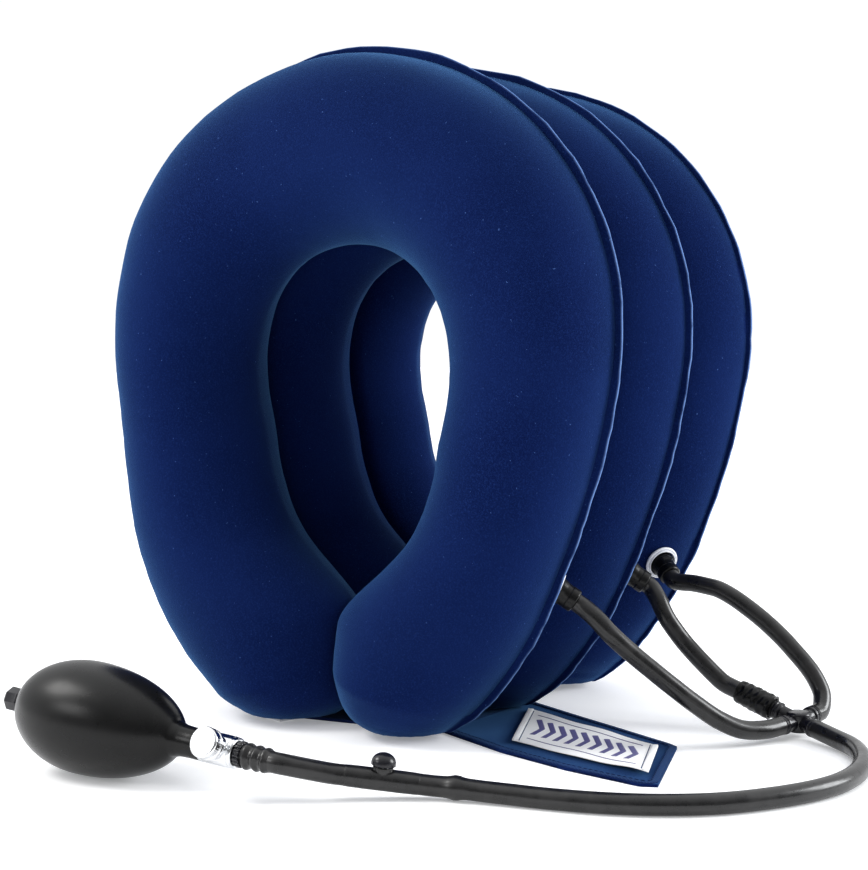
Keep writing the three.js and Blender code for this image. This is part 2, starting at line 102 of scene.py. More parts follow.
# ------------ materials
class Shader:
    """A Principled material and short ways to add the nodes that give it detail."""

    def __init__(self, name, roughness, metallic=0.0, specular=0.5):
        self.material = bpy.data.materials.new(name)
        self.material.use_nodes = True
        self.tree = self.material.node_tree
        self.principled = self.tree.nodes["Principled BSDF"]
        self.principled.inputs["Roughness"].default_value = roughness
        self.principled.inputs["Metallic"].default_value = metallic
        self.principled.inputs["Specular IOR Level"].default_value = specular
        self.place = self.node("ShaderNodeTexCoord").outputs["Object"]
        self.height = None

    def node(self, kind, **settings):
        made = self.tree.nodes.new(kind)
        for key, value in settings.items():
            setattr(made, key, value)
        return made

    def link(self, source, target):
        self.tree.links.new(source, target)

    def stretched(self, scale):
        """The object's coordinates, scaled per axis."""
        mapping = self.node("ShaderNodeMapping")
        mapping.inputs["Scale"].default_value = scale
        self.link(self.place, mapping.inputs["Vector"])
        return mapping.outputs["Vector"]

    def noise(self, scale, detail=3.0, roughness=0.55, vector=None):
        made = self.node("ShaderNodeTexNoise")
        made.inputs["Scale"].default_value = scale
        made.inputs["Detail"].default_value = detail
        made.inputs["Roughness"].default_value = roughness
        self.link(vector or self.place, made.inputs["Vector"])
        return made.outputs["Fac"]

    def bands(self, direction, scale, distortion=0.0):
        """Parallel waves, such as threads or ribs."""
        made = self.node("ShaderNodeTexWave", wave_type="BANDS", bands_direction=direction)
        made.inputs["Scale"].default_value = scale
        made.inputs["Distortion"].default_value = distortion
        self.link(self.place, made.inputs["Vector"])
        return made.outputs["Fac"]

    def ramp(self, value, low, high):
        """0 at low and 1 at high, with a smooth step between them."""
        made = self.node("ShaderNodeMapRange", interpolation_type="SMOOTHSTEP")
        made.inputs["From Min"].default_value = low
        made.inputs["From Max"].default_value = high
        self.link(value, made.inputs["Value"])
        return made.outputs["Result"]

    def maths(self, operation, a, b):
        made = self.node("ShaderNodeMath", operation=operation)
        for socket, value in zip(made.inputs, (a, b)):
            if isinstance(value, (int, float)):
                socket.default_value = value
            else:
                self.link(value, socket)
        return made.outputs["Value"]

    def mix(self, factor, a, b):
        """A colour mix. a and b are colours or outputs."""
        made = self.node("ShaderNodeMix", data_type="RGBA")
        self.link(factor, made.inputs["Factor"])
        for key, value in (("A", a), ("B", b)):
            socket = [s for s in made.inputs if s.name == key and s.type == "RGBA"][0]
            if isinstance(value, tuple):
                socket.default_value = (*value, 1)
            else:
                self.link(value, socket)
        return [s for s in made.outputs if s.type == "RGBA"][0]

    def colour(self, output):
        self.link(output, self.principled.inputs["Base Color"])

    def vary_roughness(self, value, low, high):
        made = self.node("ShaderNodeMapRange")
        made.inputs["To Min"].default_value = low
        made.inputs["To Max"].default_value = high
        self.link(value, made.inputs["Value"])
        self.link(made.outputs["Result"], self.principled.inputs["Roughness"])

    def bump(self, value, depth_mm, strength=1.0):
        """Stacks one more layer of bump."""
        made = self.node("ShaderNodeBump")
        made.inputs["Distance"].default_value = depth_mm * MM
        made.inputs["Strength"].default_value = strength
        self.link(value, made.inputs["Height"])
        if self.height is not None:
            self.link(self.height, made.inputs["Normal"])
        self.height = made.outputs["Normal"]
        self.link(self.height, self.principled.inputs["Normal"])

    def sheen(self, weight, roughness, tint):
        self.principled.inputs["Sheen Weight"].default_value = weight
        self.principled.inputs["Sheen Roughness"].default_value = roughness
        self.principled.inputs["Sheen Tint"].default_value = (*tint, 1)

    def coat(self, weight, roughness):
        self.principled.inputs["Coat Weight"].default_value = weight
        self.principled.inputs["Coat Roughness"].default_value = roughness


def flock_material():
    """Short navy velvet flock: cloudy pile, fine specks of lint, and a pale highlight painted along the edge
    of each weld.
    """
    s = Shader("navy_flock", 0.9, specular=0.02)
    clouds = s.ramp(s.noise(14, 4), 0.30, 0.72)
    pile = s.mix(clouds, (0.0021, 0.0068, 0.048), (0.0036, 0.0108, 0.066))
    grain = s.ramp(s.noise(1500, 2, 0.7), 0.42, 0.75)
    grained = s.mix(grain, pile, (0.0056, 0.0165, 0.088))
    lint = s.ramp(s.noise(900, 1, 0.4), 0.765, 0.82)
    linted = s.mix(lint, grained, (0.040, 0.085, 0.250))
    # Painted highlight: a pale blue mixed into the base colour along the flange's edge, broken up by noise.
    edge = s.node("ShaderNodeAttribute", attribute_name="painted_weld_highlight").outputs["Fac"]
    weld_highlight_mask = s.maths("MULTIPLY", edge, s.ramp(s.noise(120, 3), 0.2, 0.55))
    s.colour(s.mix(weld_highlight_mask, linted, (0.110, 0.190, 0.420)))
    s.bump(s.noise(2200, 2, 0.7), 0.16, 0.8)
    s.bump(s.noise(260, 3), 0.12, 0.5)
    s.sheen(0.32, 0.38, (0.18, 0.50, 1.0))
    return s.material


def webbing_material():
    """Woven navy nylon: a diagonal twill of threads under a soft sheen."""
    s = Shader("navy_webbing", 0.75, specular=0.06)
    weave = s.maths("MULTIPLY", s.bands("DIAGONAL", 420, 0.6), s.bands("X", 380))
    base = s.mix(weave, (0.0022, 0.0060, 0.042), (0.0055, 0.0140, 0.086))
    worn = s.ramp(s.noise(45, 4), 0.50, 0.85)
    s.colour(s.mix(worn, base, (0.0075, 0.0200, 0.100)))
    s.bump(weave, 0.22, 0.8)
    s.sheen(0.2, 0.5, (0.2, 0.5, 1.0))
    return s.material


def label_material():
    """White satin ribbon with a fine rib."""
    s = Shader("white_label", 0.5, specular=0.4)
    rib = s.bands("DIAGONAL", 700)
    dirt = s.ramp(s.noise(60, 4), 0.45, 0.8)
    base = s.mix(rib, (0.93, 0.93, 0.93), (0.99, 0.99, 0.99))
    s.colour(s.mix(dirt, base, (0.90, 0.90, 0.91)))
    s.bump(rib, 0.08, 0.6)
    s.sheen(0.15, 0.4, (1.0, 1.0, 1.0))
    return s.material


def rubber_material():
    """Satin black rubber: a fine moulded grain, and a faint bloom that dulls it in patches."""
    s = Shader("black_rubber", 0.3, specular=0.2)
    bloom = s.ramp(s.noise(38, 5), 0.35, 0.75)
    s.colour(s.mix(bloom, (0.0030, 0.0030, 0.0032), (0.0060, 0.0060, 0.0062)))
    s.vary_roughness(bloom, 0.24, 0.34)
    s.bump(s.noise(1800, 2, 0.6), 0.05, 0.35)
    s.bump(s.noise(90, 2), 0.15, 0.15)
    return s.material


def tube_material():
    """Dark grey air hose, glossier than the bulb, with faint draw lines and scuffs."""
    s = Shader("grey_tube", 0.3, specular=0.3)
    streak = s.ramp(s.noise(150, 4), 0.35, 0.7)
    s.colour(s.mix(streak, (0.007, 0.007, 0.0075), (0.016, 0.0155, 0.016)))
    s.vary_roughness(streak, 0.26, 0.38)
    s.bump(s.noise(900, 2), 0.02, 0.12)
    s.coat(0.2, 0.15)
    return s.material


def plastic_material():
    """Moulded black plastic with a light spark-eroded texture."""
    s = Shader("black_plastic", 0.22, specular=0.35)
    grain = s.noise(1200, 2, 0.6)
    s.colour(s.mix(grain, (0.004, 0.004, 0.006), (0.010, 0.010, 0.014)))
    s.vary_roughness(s.noise(220, 3), 0.16, 0.32)
    s.bump(grain, 0.04, 0.3)
    return s.material


def white_plastic_material():
    """Glossy white PVC, very slightly cloudy."""
    s = Shader("white_plastic", 0.25, specular=0.5)
    s.colour(s.mix(s.noise(240, 3), (0.66, 0.68, 0.74), (0.82, 0.83, 0.86)))
    s.vary_roughness(s.noise(500, 3), 0.18, 0.34)
    s.bump(s.noise(600, 2), 0.04, 0.3)
    s.coat(0.3, 0.1)
    return s.material


def chrome_material():
    """Polished chrome plate with hairline scratches."""
    s = Shader("chrome", 0.1, metallic=1.0)
    hairs = s.noise(260, 5, 0.65, s.stretched((1, 9, 9)))
    s.colour(s.mix(hairs, (0.62, 0.63, 0.65), (0.80, 0.81, 0.82)))
    s.vary_roughness(hairs, 0.05, 0.20)
    s.bump(hairs, 0.02, 0.25)
    return s.material


def thread_material():
    """Violet-blue embroidery thread: fine diagonal strands with a silky gloss."""
    s = Shader("violet_thread", 0.45, specular=0.4)
    strands = s.bands("DIAGONAL", 900)
    s.colour(s.mix(strands, (0.020, 0.018, 0.120), (0.050, 0.042, 0.230)))
    s.bump(strands, 0.08, 0.7)
    s.sheen(0.3, 0.4, (0.7, 0.7, 1.0))
    return s.material


materials = {
    "violet_thread": thread_material(),
    "navy_flock": flock_material(),
    "navy_webbing": webbing_material(),
    "white_label": label_material(),
    "black_rubber": rubber_material(),
    "grey_tube": tube_material(),
    "black_plastic": plastic_material(),
    "white_plastic": white_plastic_material(),
    "chrome": chrome_material(),
}
for part in frame["record"]["subparts"]:
    shown = nodes[part["node"]]
    shown.data.materials.clear()
    shown.data.materials.append(materials[part["material_slot"]])


# ------------ mesh helpers
SHARP = math.radians(38)


def piece(name, verts, faces, slot, body, replaced=(), sharp=SHARP, finish=None):
    """A mesh object from points in millimetres, smooth apart from its sharp edges."""
    mesh = bpy.data.meshes.new(name)
    mesh.from_pydata([tuple(v) for v in np.asarray(verts) * MM], [], faces)
    solid = bmesh.new()
    solid.from_mesh(mesh)
    bmesh.ops.remove_doubles(solid, verts=solid.verts, dist=1e-6)
    bmesh.ops.dissolve_degenerate(solid, edges=solid.edges, dist=1e-7)
    bmesh.ops.recalc_face_normals(solid, faces=solid.faces)
    for face in solid.faces:
        face.smooth = True
    for edge in solid.edges:
        edge.smooth = len(edge.link_faces) == 2 and edge.calc_face_angle(0) < sharp
    solid.to_mesh(mesh)
    solid.free()
    mesh.materials.append(materials[finish or slot])
    made = placed(name, mesh)
    if body:
        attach(made, body)
    if replaced:
        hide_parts(*replaced)
    return made


def cad_copy(name, node, body):
    """An object of its own with a CAD node's mesh."""
    made = placed(name, nodes[node].data.copy())
    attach(made, body)
    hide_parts(node)
    return made


def arc_lengths(line):
    """Distance along a line at each of its points."""
    return np.concatenate([[0], np.cumsum(np.linalg.norm(np.diff(line, axis=0), axis=1))])


def points_along(line, distances):
    """Points of a line at the given distances along it."""
    along = arc_lengths(line)
    return np.stack([np.interp(distances, along, axis) for axis in np.asarray(line).T], axis=1)


def evenly_spaced(line, step, fewest):
    """A line as evenly spaced points, about step apart."""
    length = arc_lengths(line)[-1]
    return points_along(line, np.linspace(0, length, max(fewest, round(length / step)) + 1))


def round_ring(at, radius_at, side, up, sides):
    """Points round a centre, each radius_at(angle) from it."""
    angles = [2 * math.pi * k / sides for k in range(sides)]
    return [at + radius_at(a) * (math.cos(a) * side + math.sin(a) * up) for a in angles]


def grid_faces(rows, columns, wrap_columns=False, offset=0):
    """Quads of a grid whose points run row by row."""
    faces = []
    for start in range(offset, offset + (rows - 1) * columns, columns):
        for j in range(columns if wrap_columns else columns - 1):
            k = (j + 1) % columns
            faces.append((start + j, start + columns + j, start + columns + k, start + k))
    return faces


def axes_from(direction, up=(0, 0, 1)):
    """Three unit vectors: along, side and up."""
    along = np.asarray(direction, float) / np.linalg.norm(direction)
    side = np.cross(np.asarray(up, float), along)
    if np.linalg.norm(side) < 1e-6:
        side = np.cross((0, 1, 0), along)
    side /= np.linalg.norm(side)
    return along, side, np.cross(along, side)


def filleted(profile, radius, steps=3):
    """Rounds the corners of a profile of (x, radius) points, apart from those on the axis."""
    points = np.array(profile, float)
    out = []
    for before, at, after in zip(np.roll(points, 1, axis=0), points, np.roll(points, -1, axis=0)):
        before_far, after_far = np.linalg.norm(before - at), np.linalg.norm(after - at)
        reach = min(radius, 0.45 * before_far, 0.45 * after_far)
        if at[1] < 1e-6 or reach < 1e-3:
            out.append(tuple(at))
            continue
        start, end = at + (before - at) / before_far * reach, at + (after - at) / after_far * reach
        out += [tuple((1 - t) ** 2 * start + 2 * t * (1 - t) * at + t * t * end)
                for t in np.linspace(0, 1, steps + 1)]
    return out


def lathe(profile, origin, direction, sides=48, ripple=None):
    """Points and faces of a profile of (x, radius) turned about an axis.

    A profile that ends where it starts makes a ring. Otherwise ends off the axis are capped.
    ripple(x, radius, angle) gives the radius where it isn't the same all round.
    """
    along, side, up = axes_from(direction)
    origin = np.asarray(origin, float)
    verts = []
    for x, r in profile:
        verts += round_ring(origin + along * x, lambda a: ripple(x, r, a) if ripple else r, side, up, sides)
    faces = grid_faces(len(profile), sides, wrap_columns=True)
    if profile[-1] != profile[0]:
        ends = ((0, profile[0]), (len(verts) - sides, profile[-1]))
        faces += [tuple(range(first, first + sides)) for first, (_, r) in ends if r > 1e-6]
    return verts, faces


def joined(*parts):
    """Several (points, faces) as one."""
    verts, faces = [], []
    for part_verts, part_faces in parts:
        shift = len(verts)
        verts.extend(part_verts)
        faces.extend(tuple(k + shift for k in face) for face in part_faces)
    return verts, faces


# ------------ the hoses, on the CAD source's routes
HOSE_RADIUS = 4.0
HOSE_STEP, PUMP_HOSE_STEP = 1.6, 1.2
MANIFOLD = np.array((175.0, 21.0, 6.4))
ARMS = [np.array(a) / np.linalg.norm(a) for a in (
    (-0.3, -0.95, -0.02), (-0.93, 0.03, 0.33), (0.16, 0.98, 0.1), (0.86, -0.5, -0.09),
)]
TUBE_START = 12.3  # from the joint's middle
NEAR_LEAD, NEAR_NORMAL = (0.7233, 0.4069, -0.5579), (0.8000, 0.4500, -0.3970)
FAR_LEAD, FAR_NORMAL = (0.7042, -0.4416, -0.5560), (0.7785, -0.4882, -0.3946)
PORTS = [
    {"body": "port_1", "at": (96.428, -54.274, 67.386), "lead": NEAR_LEAD, "normal": NEAR_NORMAL},
    {"body": "port_2", "at": (96.428, 11.126, 67.386), "lead": NEAR_LEAD, "normal": NEAR_NORMAL},
    {"body": "port_3", "at": (95.280, 47.810, 67.486), "lead": FAR_LEAD, "normal": FAR_NORMAL},
]
STUB_END = 10.3
# For each branch: how far it stays on its port's line, its free run, and its stops on the joint arm's line
BRANCHES = [
    (13.5, [
        (112.1, -48.1, 55.4), (118, -46.6, 49.3), (121.9, -44.3, 45), (125.6, -41.7, 41),
        (129.4, -39.2, 37.2), (133.3, -36.6, 33.4), (137.2, -33.9, 29.5), (141, -31, 25.7),
        (144.8, -28.1, 21.9), (148.5, -25, 18.3), (152, -21.9, 14.9), (155.5, -18.5, 11.8),
        (162, -11, 7.4),
    ], (22,)),
    (12.5, [
        (110, 15.4, 54.9), (112.3, 14.9, 51), (114.6, 14.8, 47.1), (118.2, 15.9, 41.7),
        (121.9, 17.3, 36.6), (126.3, 18.3, 31.8), (130.8, 19.4, 27.2), (135, 20.9, 22.8),
    ], (38, 30, 25, 20)),
    (13.5, [
        (114.8, 42.9, 59.4), (120.5, 43.6, 58.6), (126.1, 44.3, 57.5), (133.3, 45, 54.2),
        (139.8, 45.6, 50.2), (146.1, 46.1, 45.9), (152.1, 46.6, 41.2), (157.6, 47, 36.4),
        (162.7, 47.2, 31.4), (167.1, 47.4, 26.9), (171, 47.2, 22.4), (174, 46.5, 18.1),
        (176.3, 45, 14),
    ], (18,)),
]
PUMP_ROUTE = [
    (52.21, -189.08, 15.155), (56.355, -188.426, 14.799),
    (68.867, -174.147, 9.963), (73.467, -170.863, 9.224),
]
MAIN_ROUTE = [
    (94.933, -155.537, 5.776), (99.533, -152.253, 5.037), (109, -149.3, 4.9), (118.5, -146.4, 4.4),
    (129, -143.8, 4.2), (140, -141.2, 4), (161, -135, 4), (180, -125.5, 4), (197.5, -111.5, 4),
    (211.5, -92, 4), (220.5, -72.5, 4), (224, -55, 4), (222.5, -34, 4), (216, -15.5, 4),
    (207, -1, 4), (196.5, 7.6, 4.4), tuple(MANIFOLD + ARMS[3] * TUBE_START),
]


def hermite(p1, p2, v1, v2, w):
    """The cubic from p1 to p2 that leaves at v1 and arrives at v2, at w from 0 to 1."""
    cubic = (2 * p1 - 2 * p2 + v1 + v2) * w**3 + (-3 * p1 + 3 * p2 - 2 * v1 - v2) * w**2
    return cubic + v1 * w + p1


def centripetal(route, step):
    """A centripetal Catmull-Rom curve through the route, as evenly spaced points, and its length."""
    points = [np.array(p, float) for p in route]
    points = [2 * points[0] - points[1], *points, 2 * points[-1] - points[-2]]
    dense = []
    for p0, p1, p2, p3 in zip(points, points[1:], points[2:], points[3:]):
        d0, d1, d2 = (np.linalg.norm(b - a) ** 0.5 for a, b in ((p0, p1), (p1, p2), (p2, p3)))
        v1 = ((p1 - p0) / d0 - (p2 - p0) / (d0 + d1) + (p2 - p1) / d1) * d1
        v2 = ((p2 - p1) / d1 - (p3 - p1) / (d1 + d2) + (p3 - p2) / d2) * d1
        dense += [hermite(p1, p2, v1, v2, w) for w in np.linspace(0, 1, 24, endpoint=False)]
    dense = np.array([*dense, points[-2]])
    return evenly_spaced(dense, step, 2), arc_lengths(dense)[-1]


def tube_shape(line, radius, sides=24, swell=None):
    """A closed round tube along a line. swell(distance) is added to its radius."""
    tangents = np.gradient(line, axis=0)
    tangents /= np.linalg.norm(tangents, axis=1)[:, None]
    side = axes_from(tangents[0])[1]
    verts = []
    for at, tangent, far in zip(line, tangents, arc_lengths(line)):
        side = side - tangent * side.dot(tangent)
        side /= np.linalg.norm(side)
        up = np.cross(tangent, side)
        r = radius + (swell(far) if swell else 0)
        verts += round_ring(at, lambda _: r, side, up, sides)
    faces = grid_faces(len(line), sides, wrap_columns=True)
    faces += [tuple(range(sides)), tuple(range(len(verts) - sides, len(verts)))]
    return verts, faces


for number, (port, (second, hand, arm_stops)) in enumerate(zip(PORTS, BRANCHES), 1):
    at, lead = np.array(port["at"]), np.array(port["lead"])
    route = [at + lead * STUB_END, at + lead * second, *hand]
    route += [MANIFOLD + ARMS[number - 1] * far for far in (*arm_stops, TUBE_START)]
    line, length = centripetal(route, HOSE_STEP)
    hose = piece(f"branch_hose_{number}", *tube_shape(line, HOSE_RADIUS), "grey_tube", None,
                 [f"branch_tube_{number}"])
    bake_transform(hose)


def hose_swell(far):
    """A soft ridge where the hose is pushed over the coupling's tail."""
    return 0.75 * math.exp(-((far - 15.0) / 2.4) ** 2)


main_line, main_length = centripetal(MAIN_ROUTE, HOSE_STEP)
main_piece = piece("supply_hose", *tube_shape(main_line, HOSE_RADIUS, swell=hose_swell), "grey_tube",
                   "base", ["main_hose"])
pump_line, _ = centripetal(PUMP_ROUTE, PUMP_HOSE_STEP)
pump_piece = piece("pump_tail_hose", *tube_shape(pump_line, HOSE_RADIUS), "grey_tube", "base",
                   ["pump_hose"])


# ------------ four-way joint
hub_profile = filleted([(-4.2, 0), (-4.2, 4.9), (-3.6, 5.4), (3.6, 5.4), (4.4, 4.6), (4.4, 0)], 0.5)
arm_profile = filleted([(0, 0), (0, 3.3), (8.6, 3.3), (9, 4.1), (10.2, 4.1), (10.5, 3.7), (10.9, 3.7),
                        (11.2, 4.1), (12, 3.9), (12.1, 3.7), (12.9, 3.7), (12.9, 0)], 0.15)
joint_parts = [lathe(hub_profile, MANIFOLD, (0, 0, 1), 40)]
joint_parts += [lathe(arm_profile, MANIFOLD, arm, 32) for arm in ARMS]
cross = piece("four_way_joint", *joined(*joint_parts), "black_plastic", "base", ["manifold"])

SLEEVE_START, SLEEVE_END, SLEEVE_BORE = 13, 30, 4.6
SLEEVE_WIDE, SLEEVE_NARROW, THINNEST = 5.55, 5.1, 0.15


def crumple(x, r, angle):
    """Wrinkles of a wrapped rubber sleeve, outside its bore."""
    if r <= SLEEVE_BORE:
        return r
    fold = noise.noise(Vector((x * 0.45, math.cos(angle) * 2.2, math.sin(angle) * 2.2)))
    return max(r + 0.42 * fold + 0.14 * math.sin(x * 1.9 + 2 * angle), SLEEVE_BORE + THINNEST)


sleeve_line = zip(np.linspace(SLEEVE_START, SLEEVE_END, 35), np.linspace(SLEEVE_WIDE, SLEEVE_NARROW, 35))
sleeve_profile = [(SLEEVE_START, SLEEVE_BORE), *sleeve_line, (SLEEVE_END, SLEEVE_BORE),
                  (SLEEVE_START, SLEEVE_BORE)]
wrap = piece("wrinkled_sleeve", *lathe(sleeve_profile, MANIFOLD, ARMS[1], 48, crumple), "black_rubber",
             "base", ["manifold_sleeve"])


# ------------ ports
def port_pieces(number, port):
    """A double-rimmed grommet welded to the panel, and the flared rubber stub in it."""
    ring = filleted([(0.3, 6.25), (0.3, 8.2), (0.9, 8.2), (1.35, 7.75), (1.35, 7.35), (0.95, 7.2),
                     (0.95, 7.0), (1.9, 6.85), (1.9, 6.25), (0.3, 6.25)], 0.22)
    piece(f"port_grommet_{number}", *lathe(ring, port["at"], port["normal"], 56), "white_plastic",
          port["body"], [f"port_ring_{number}"])
    stub = filleted([(-6.2, 2.4), (-6.2, 7.1), (-5, 7.1), (-5, 5.6), (0, 5.7), (2.2, 5.5), (4, 5.1),
                     (6.2, 4.95), (6.6, 5.15), (9.6, 5.1), (10.1, 4.7), (10.2, 3.8), (10.9, 3.8), (10.9, 2.4),
                     (-6.2, 2.4)], 0.2)
    piece(f"port_rubber_{number}", *lathe(stub, port["at"], port["lead"], 48), "black_rubber",
          port["body"], [f"port_stub_{number}"])


for number, port in enumerate(PORTS, 1):
    port_pieces(number, port)


# ------------ quick coupling
COUPLING = np.array((84.2, -163.2, 7.5))
COUPLING_ALONG = (0.8069, 0.5761, -0.1296)
COUPLING_UP = (0.10551, 0.07532, 0.99156)
SPRING_FOOT, DOME_FOOT = 3.0, 6.4  # above the coupling's axis
DOME_RISE = 3.9
shell_profile = filleted([(-14.2, 1.6), (-14.2, 4.03), (-12.5, 4.12), (-8, 4.2), (8, 4.2), (12.5, 4.12),
                          (14.2, 4.03), (14.2, 1.6)], 0.3)
boss_profile = filleted([(1.7, 2.9), (1.7, 3.2), (3.6, 3.9), (4.9, 3.9), (4.9, 2.9)], 0.2)
shell = piece("coupling_shell", *joined(
    lathe([*shell_profile, shell_profile[0]], COUPLING, COUPLING_ALONG, 40),
    lathe([*boss_profile, boss_profile[0]], COUPLING, COUPLING_UP, 40),
), "grey_tube", "base", ["coupling_body"])
dome = [(5.1, 0), (5.1, 1.3), (6.5, 1.3), (6.5, 4.15), (5.5, 4.15), (5.5, 4.5), (5.65, 4.7), (6.2, 4.75)]
dome += [(DOME_FOOT + DOME_RISE * math.sin(a), 4.7 * math.cos(a))
         for a in np.linspace(0.05, math.pi / 2, 14)[:-1]]
dome.append((DOME_FOOT + DOME_RISE, 0))
dome_piece = piece("coupling_dome", *lathe(dome, COUPLING, COUPLING_UP, 48), "black_plastic",
                   "coupling_button", ["coupling_button"])
spring = cad_copy("dome_spring", "coupling_spring", "base")
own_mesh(spring)


# ------------ squeeze bulb and release valve
PUMP_ALONG = np.array((0.99279, 0.08459, -0.0849))
PUMP = np.array((-29.0, -196.0, 22.1))
KNOB_AT = PUMP + 60.5 * PUMP_ALONG
KNOB_AXIS = (0.11201, -0.90685, 0.40629)
BULB_WIDEST = -5  # along the pump's axis
KNOB_FLUTES, COLLAR_RIBS = 44, 18


def egg(radius, left_reach, right_reach, left_radius, right_angle, steps):
    """Outline of the bulb's wall from its inlet end to its neck, along two ellipses."""
    quarter = math.pi / 2
    lefts = np.linspace(math.asin(left_radius / radius), quarter, steps)
    rights = np.linspace(quarter, right_angle, steps)[1:]
    left = [(BULB_WIDEST - left_reach * math.cos(a), radius * math.sin(a)) for a in lefts]
    return left + [(BULB_WIDEST + right_reach * math.cos(a), radius * math.sin(a)) for a in rights]


bulb_profile = [(-39.5, 3.6), (-39.5, 4.7), (-39.1, 5.0), *egg(22.3, 33.5, 45, 5, 0.46, 26), (36.8, 8.4),
                (37.6, 7.4), (38.4, 6.9), (39.4, 6.75), (40.6, 6.35), (42, 6.1), (46, 5.9), (50.2, 5.9),
                (50.7, 5.8), (51, 5.5), (51, 3.9), (39, 3.9), *egg(20.1, 31.3, 42, 3.6, 0.4, 10)[::-1],
                (-39.5, 3.6)]
piece("bulb", *lathe(bulb_profile, PUMP, PUMP_ALONG, 96), "black_rubber", "base", ["squeeze_bulb"])
cap_profile = [(-39.6, 1.2), (-39.6, 3.3), (-39.8, 4.75), (-40.2, 4.95), (-44.9, 5.1), (-45.4, 5.0),
               (-46.3, 4.3), (-46.4, 4.1), (-46.4, 1.6), (-46.1, 1.3), (-39.6, 1.2)]
piece("inlet_hex_cap", *lathe(cap_profile, PUMP, PUMP_ALONG, 8), "black_plastic", "base", ["inlet_cap"],
      sharp=math.radians(20))

barrel_profile = filleted([(51.3, 3.6), (51.3, 5.8), (51.7, 6.1), (52.9, 6.1), (53.2, 5.75), (53.6, 5.75),
                           (53.9, 6.1), (64.6, 6.1), (64.9, 5.8), (65.3, 5.8), (65.6, 6.0), (66.5, 5.9),
                           (67, 5.4), (67, 3.3), (78, 3.3), (79.5, 2.6), (79.5, 1.5), (45, 1.5),
                           (45, 3.6), (51.3, 3.6)], 0.25)
neck_profile = filleted([(0, 2.2), (0, 4.4), (7, 4.4), (7.2, 4.7), (7.8, 4.7), (8, 4.4), (8, 2.2)], 0.15)
piece("valve_barrel", *joined(
    lathe([*barrel_profile, barrel_profile[0]], PUMP, PUMP_ALONG, 56),
    lathe([*neck_profile, neck_profile[0]], KNOB_AT, KNOB_AXIS, 48),
), "chrome", "base", ["release_valve_body"])
knob_profile = filleted([(9.4, 2.1), (9.4, 4.6), (10, 6.0), (11.2, 6.0), (11.5, 5.6), (11.9, 5.6),
                         (12.2, 6.0), (14.9, 6.0), (15.3, 5.75), (15.6, 5.2), (15.5, 2.6), (15.35, 0)], 0.28)


def milled(x, r, angle):
    """Fine milling round the knob's rim."""
    on_rim = r > 5.9 and 12.4 < x < 14.7
    return r - 0.10 * (0.5 + 0.5 * math.cos(KNOB_FLUTES * angle)) if on_rim else r


knob_rows = [*knob_profile, (12.5, 0), (12.5, 2.1), (9.4, 2.1)]
piece("knob_wheel", *lathe(knob_rows, KNOB_AT, KNOB_AXIS, 176, milled), "chrome", "knob", ["release_knob"])


def knurled(x, r, angle):
    """Ribs along the collar."""
    return r - 0.42 * (0.5 + 0.5 * math.cos(COLLAR_RIBS * angle)) ** 2 if r > 4.6 else r


collar_profile = [(67.3, 3.6), (67.3, 4.5), (67.55, 4.95), (68.1, 5.0), (69.2, 5.0), (69.75, 4.95),
                  (70, 4.5), (70, 3.6), (67.3, 3.6)]
collar = piece("ribbed_collar", *lathe(collar_profile, PUMP, PUMP_ALONG, 108, knurled), "black_plastic",
               "base", ["hose_collar"])


def creased(x, r, angle):
    """The cuff's rubber swells unevenly over the barbs under it."""
    return r + 0.14 * math.sin(3 * angle + x * 0.9) if r > 4.2 else r


cuff_line = [(70.3 + t * 0.4, 4.75 + 0.42 * math.sin((t - 2) * 0.62) - 0.016 * t) for t in range(28)]
cuff_profile = [(70.3, 3.6), *cuff_line, (81.6, 4.2), (82.4, 4.05), (82.4, 3.6), (70.3, 3.6)]
cuff = piece("swollen_cuff", *lathe(cuff_profile, PUMP, PUMP_ALONG, 40, creased), "grey_tube", "base",
             ["hose_cuff"])


# ------------ the horseshoe tiers
TIER_PITCH = 65.4
CONTACT_GAP = 1.2
TOUCHING = (TIER_PITCH - CONTACT_GAP) / 2
CONTACT_EASE = 3  # how softly a panel meets its neighbour
FULL_CHORD = 72  # a narrower panel rises less
LIP_HALF = 0.95  # half the thickness of the weld flange
FOREMOST_PINCH, FRONT_PINCH, REAR_PINCH = 2.3, 1.75, 1.25
HOLE_PINCH, REAR_HOLE_PINCH, LEG_PINCH = 1.7, 1.25, 1.25
LEG_GAP = 0.6
LEG_FROM = 0.6  # |u| from which a leg can meet the other one
PRESS_HEIGHT = 0.4  # above the floor under a tier
SQUEEZED = 0.04  # what is left of the shape beyond a surface that it presses on
STRAP_THICKNESS = 1.6
ON_STRAP = STRAP_THICKNESS + 0.3
PAST_STRAP = 2.3  # high enough to clear the strap as the tiers close up
# Right half of each seam as (x, height), from the top to the leg end
OUTER_SEAM = [
    (0, 297), (46, 288.5), (85, 267), (113, 235.5), (127, 202), (130, 170), (125, 137),
    (116, 105), (105, 77), (92, 50), (77, 28), (61, 11), (45, 0.5), (25, -3.5),
]
INNER_SEAM = [
    (0, 214), (21, 210.5), (39, 200), (51.5, 184), (57, 165), (56.5, 147), (52, 128.5),
    (47, 108), (34, 84), (3, 57), (-5, 45), (-5, 28), (1.5, 10), (25, -3.5),
]
# How much wider the left half of the outer seam is, point by point
LEFT_SPREAD = [0, 0.5, 1, 0, -1.5, -1.5, 0, 5.5, 12, 14.5, 13, 8, 5, 0]


def seam_curve(right_half, spread):
    """The whole seam as points, left leg end over the top to the right leg end."""
    left = [(-x - more, z) for (x, z), more in zip(right_half, spread)][:0:-1]
    return np.array(left + list(right_half), float)


